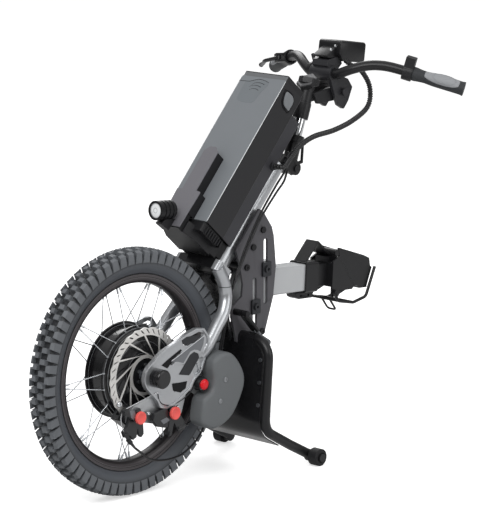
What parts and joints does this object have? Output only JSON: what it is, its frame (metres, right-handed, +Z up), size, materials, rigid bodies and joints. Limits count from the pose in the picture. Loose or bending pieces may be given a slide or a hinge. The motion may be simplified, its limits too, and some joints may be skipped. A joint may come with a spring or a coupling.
{
  "type": "wheelchair power assist",
  "caption": "Clip-on front drive for a wheelchair: hub-motor wheel in a fork, battery on a sloping mast, swept handlebar, folding stand and a rear docking arm",
  "frame": {"origin": "On the floor, midway between the front of the tyre and the rear ends of the grips, in the object's middle plane", "axes": "+X points back to the wheelchair, -X is the way of travel; +Y is the rider's right hand side; +Z is up"},
  "size_m": [1.0267, 0.578, 0.9028],
  "materials": {
    "tyre_rubber": "matt rubber",
    "black_paint": "black powder coat",
    "gloss_black": "gloss black",
    "graphite": "dark grey coat",
    "silver": "satin silver",
    "steel": "brushed",
    "chrome": "polished",
    "cast": "grey coat",
    "case_grey": "fine grain",
    "light_grey": "matt",
    "black_plastic": "matt",
    "red_plastic": "gloss",
    "coral": "anodised",
    "grip_rubber": "matt rubber",
    "clear": "clear"
  },
  "bodies": {
    "frame": {"head_tube": "silver", "head_clamp": "black_paint", "side_plates": "graphite", "plate_bolts": "black_paint", "head_bearings": "steel"},
    "arm": {"arm_tube": "silver", "arm_studs": "black_paint", "arm_collar": "black_plastic"},
    "dock": {"dock_tube": "black_paint", "dock_cheeks": "black_paint"},
    "latch": {"latch_hoops": "black_paint"},
    "stand": {"stand_hoop": "gloss_black", "stand_panel": "gloss_black", "stand_fittings": "steel"},
    "left_roller": {"roller_left": "grip_rubber"},
    "right_roller": {"roller_right": "grip_rubber"},
    "strut_tubes": {"strut_tubes": "black_paint"},
    "strut_rods": {"strut_rods": "steel"},
    "steering": {"fork": "silver", "mudguard": "black_plastic", "battery_rail": "graphite", "battery_dock": "black_plastic", "dock_shield": "light_grey", "headlight_body": "black_plastic", "headlight_lens": "clear", "motor_axle": "steel", "axle_caps": "black_plastic", "brake_bracket": "silver", "calipers": "black_paint", "caliper_knobs": "coral", "ballast_weights": "cast", "column_head": "black_paint", "brake_cables": "black_plastic", "cable_loom": "black_plastic"},
    "front_pull_arm": {"pull_arm_front": "black_paint"},
    "rear_pull_arm": {"pull_arm_rear": "black_paint"},
    "left_button": {"ballast_button_left": "red_plastic"},
    "right_button": {"ballast_button_right": "red_plastic"},
    "wheel": {"tyre": "tyre_rubber", "rim": "gloss_black", "spokes": "steel", "hub_shell": "gloss_black", "rotor": "steel", "rotor_bolts": "steel", "hub_bearings": "steel"},
    "battery": {"battery_case": "case_grey", "battery_cap": "black_plastic"},
    "lock": {"lock_cover": "light_grey"},
    "post": {"post_tube": "black_paint"},
    "mast": {"post_inner": "chrome", "stem": "black_paint"},
    "lever": {"height_lever": "black_paint"},
    "bar": {"bar_clamp": "graphite", "handlebar": "gloss_black", "grips": "grip_rubber", "switch_block": "black_plastic", "display": "black_plastic"},
    "switch": {"switch_button": "red_plastic"},
    "throttle": {"throttle_lever": "black_plastic"},
    "brake": {"brake_lever": "black_paint"}
  },
  "joints": [
    {"name": "steer", "type": "hinge", "parent": "frame", "child": "steering", "pos_m": [-0.00015, 0, 0.43331], "axis": [0.6691, 0, 0.7431], "range_deg": [-30, 30], "deforming": ["brake_cables"]},
    {"name": "wheel_spin", "type": "hinge", "parent": "steering", "child": "wheel", "pos_m": [-0.25038, 0, 0.263], "axis": [0, 1, 0], "continuous": true},
    {"name": "arm_height", "type": "slide", "parent": "frame", "child": "arm", "axis": [0, 0, 1], "range_m": [-0.03, 0.03]},
    {"name": "dock_reach", "type": "slide", "parent": "arm", "child": "dock", "axis": [0.9981, 0, -0.061], "range_m": [-0.03, 0.05]},
    {"name": "latch", "type": "hinge", "parent": "dock", "child": "latch", "pos_m": [0.35475, 0, 0.34016], "axis": [0, 1, 0], "range_deg": [0, 40], "stiffness_Nm_per_rad": 2, "springref_deg": -17.19},
    {"name": "stand_fold", "type": "hinge", "parent": "frame", "child": "stand", "pos_m": [0.05362, 0, 0.294], "axis": [0, -1, 0], "range_deg": [0, 50]},
    {"name": "left_roller_spin", "type": "hinge", "parent": "stand", "child": "left_roller", "pos_m": [0.17962, -0.1435, 0.019], "axis": [0, 1, 0], "continuous": true},
    {"name": "right_roller_spin", "type": "hinge", "parent": "stand", "child": "right_roller", "pos_m": [0.17962, 0.1435, 0.019], "axis": [0, 1, 0], "continuous": true},
    {"name": "strut_upper", "type": "hinge", "parent": "frame", "child": "strut_tubes", "pos_m": [0.03062, -0.0625, 0.351], "axis": [0, -1, 0], "range_deg": [0, 20]},
    {"name": "strut_lower", "type": "hinge", "parent": "stand", "child": "strut_rods", "pos_m": [0.09562, -0.0625, 0.278], "axis": [0, -1, 0], "range_deg": [-32, 0]},
    {"name": "front_pull", "type": "hinge", "parent": "steering", "child": "front_pull_arm", "pos_m": [-0.30733, -0.088, 0.19011], "axis": [0, -1, 0], "range_deg": [0, 15], "stiffness_Nm_per_rad": 1, "springref_deg": -17.19},
    {"name": "rear_pull", "type": "hinge", "parent": "steering", "child": "rear_pull_arm", "pos_m": [-0.20696, -0.088, 0.18133], "axis": [0, -1, 0], "range_deg": [0, 15], "stiffness_Nm_per_rad": 1, "springref_deg": -17.19},
    {"name": "left_button_press", "type": "slide", "parent": "steering", "child": "left_button", "axis": [0, 1, 0], "range_m": [0, 0.003], "stiffness_N_per_m": 600, "springref_m": -0.002},
    {"name": "right_button_press", "type": "slide", "parent": "steering", "child": "right_button", "axis": [0, -1, 0], "range_m": [0, 0.003], "stiffness_N_per_m": 600, "springref_m": -0.002},
    {"name": "battery_lift", "type": "slide", "parent": "steering", "child": "battery", "axis": [0.6691, 0, 0.7431], "range_m": [0, 0.15]},
    {"name": "lock_cover_swing", "type": "hinge", "parent": "battery", "child": "lock", "pos_m": [0.16892, -0.067, 0.79295], "axis": [0, 1, 0], "range_deg": [-80, 80]},
    {"name": "post_tilt", "type": "hinge", "parent": "steering", "child": "post", "pos_m": [0.23997, 0, 0.63424], "axis": [0, 1, 0], "range_deg": [-4, 15]},
    {"name": "bar_height", "type": "slide", "parent": "post", "child": "mast", "axis": [0.342, 0, 0.9397], "range_m": [-0.02, 0.015]},
    {"name": "height_lever_open", "type": "hinge", "parent": "post", "child": "lever", "pos_m": [0.28451, 0, 0.68614], "axis": [0, -1, 0], "range_deg": [0, 40]},
    {"name": "bar_tilt", "type": "hinge", "parent": "mast", "child": "bar", "pos_m": [0.38362, 0, 0.789], "axis": [0, 1, 0], "range_deg": [-8, 12], "deforming": ["cable_loom"]},
    {"name": "switch_press", "type": "slide", "parent": "bar", "child": "switch", "axis": [-0.8445, -0.5355, 0], "range_m": [0, 0.002], "stiffness_N_per_m": 600, "springref_m": -0.002},
    {"name": "throttle_press", "type": "hinge", "parent": "bar", "child": "throttle", "pos_m": [0.35562, 0.036, 0.832], "axis": [0, 1, 0], "range_deg": [0, 30], "stiffness_Nm_per_rad": 0.4, "springref_deg": -22.92},
    {"name": "brake_squeeze", "type": "hinge", "parent": "bar", "child": "brake", "pos_m": [0.40774, 0.18469, 0.84283], "axis": [-0.1435, -0.2262, -0.9634], "range_deg": [-14, 0], "stiffness_Nm_per_rad": 4, "springref_deg": 5.73}
  ],
  "couplings": [
    {"joint": "strut_upper", "follows": "stand_fold", "ratio": 0.385},
    {"joint": "strut_lower", "follows": "stand_fold", "ratio": -0.615}
  ]
}
